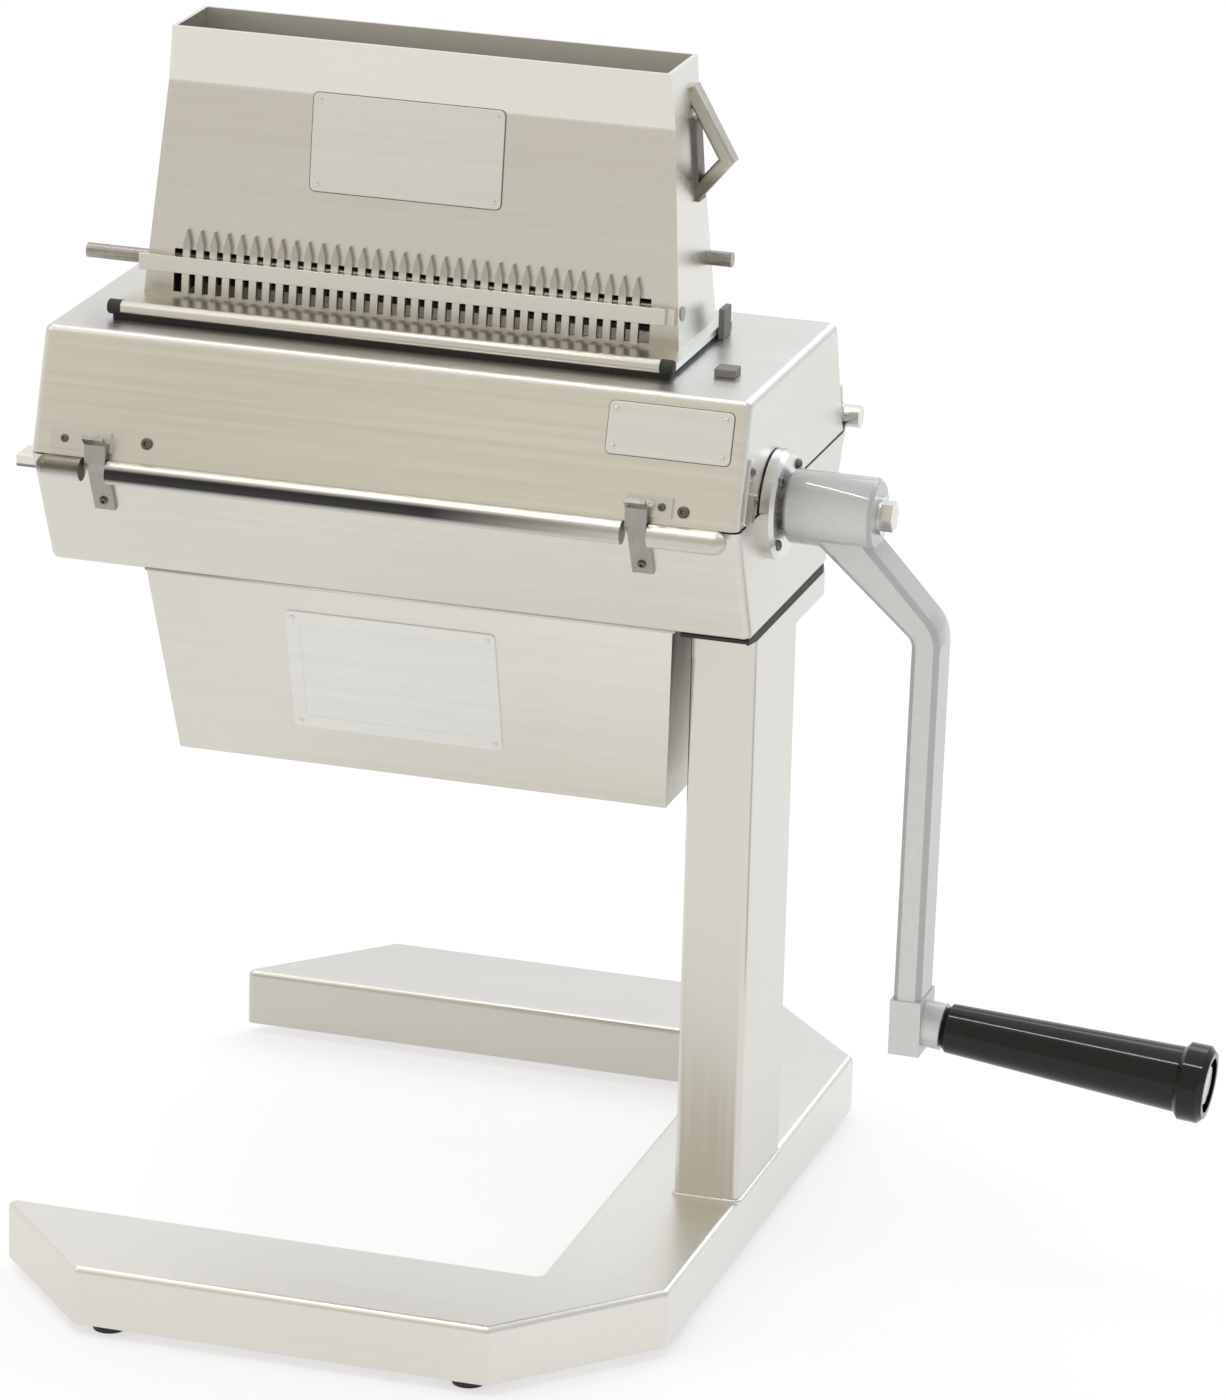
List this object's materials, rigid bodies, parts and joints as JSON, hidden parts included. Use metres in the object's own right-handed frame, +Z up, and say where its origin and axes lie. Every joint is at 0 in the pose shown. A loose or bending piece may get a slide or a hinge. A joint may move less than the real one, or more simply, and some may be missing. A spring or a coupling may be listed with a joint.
{
  "type": "hand-cranked meat tenderiser",
  "caption": "Hand-cranked stainless steel meat tenderiser: a feed hopper over geared knife rollers in a hinged head, carried by a column on a U-shaped stand, with a side crank.",
  "frame": {"origin": "centre of the machine's outline on the floor, under its feet", "axes": "+X along the rollers towards the crank, +Y to the rear, +Z up"},
  "size_m": [0.4482, 0.356, 0.4427],
  "materials": {
    "stainless_sheet": "satin, fine brushing",
    "bright_steel": "bright, lightly polished",
    "cast_crank": "satin casting",
    "bronze": "plain bearing bronze",
    "black_rubber": "matt",
    "black_plastic": "gloss"
  },
  "bodies": {
    "stand": {"base_frame": "stainless_sheet", "base_feet": "black_rubber", "column": "stainless_sheet", "column_backing_plate": "bright_steel", "column_bolts": "bright_steel", "saddle": "stainless_sheet", "saddle_seal": "black_rubber", "lower_housing": "stainless_sheet", "housing_lug": "stainless_sheet", "discharge_chute": "stainless_sheet", "cradle_plate_left": "bright_steel", "cradle_plate_right": "bright_steel", "cradle_tie_rods": "bright_steel", "roller_bushes": "bronze", "front_comb": "bright_steel", "rear_comb": "bright_steel", "bearing_flange": "bright_steel", "bearing_bush": "bronze", "front_clip_left": "bright_steel", "front_clip_right": "bright_steel", "hinge_lower_leaves": "bright_steel", "hinge_pins": "bright_steel"},
    "drive_roller": {"drive_shaft": "bright_steel", "drive_knives": "bright_steel", "drive_spacers": "bright_steel", "drive_gear": "bright_steel", "drive_collar": "bright_steel", "crank_arm": "cast_crank", "crank_bolt": "bright_steel", "grip_spindle": "bright_steel"},
    "grip": {"crank_grip": "black_plastic"},
    "idler_roller": {"idler_shaft": "bright_steel", "idler_knives": "bright_steel", "idler_spacers": "bright_steel", "idler_gear": "bright_steel", "idler_collar": "bright_steel", "idler_gear_collar": "bright_steel"},
    "cover": {"cover_shell": "stainless_sheet", "feed_throat": "stainless_sheet", "hopper": "stainless_sheet", "hopper_gasket": "black_rubber", "hopper_handle": "bright_steel", "handle_strap": "bright_steel", "hopper_side_pin": "bright_steel", "comb_guard": "stainless_sheet", "comb_guard_bar": "stainless_sheet", "cross_rod": "bright_steel", "hopper_stop": "black_rubber", "cover_pad": "black_rubber", "keeper_plate_left": "bright_steel", "keeper_plate_right": "bright_steel", "hinge_upper_leaves": "bright_steel"}
  },
  "joints": [
    {"name": "crank_turn", "type": "hinge", "parent": "stand", "child": "drive_roller", "pos_m": [0.09208, -0.025, 0.293], "axis": [1, 0, 0], "continuous": true},
    {"name": "idler_turn", "type": "hinge", "parent": "stand", "child": "idler_roller", "pos_m": [-0.08893, 0.025, 0.293], "axis": [1, 0, 0], "continuous": true},
    {"name": "grip_spin", "type": "hinge", "parent": "drive_roller", "child": "grip", "pos_m": [0.11127, -0.025, 0.103], "axis": [0.996, 0, -0.0889], "continuous": true},
    {"name": "cover_open", "type": "hinge", "parent": "stand", "child": "cover", "pos_m": [-0.08893, 0.076, 0.298], "axis": [-1, 0, 0], "range_deg": [0, 100]}
  ],
  "couplings": [
    {"joint": "idler_turn", "follows": "crank_turn", "ratio": -1}
  ]
}
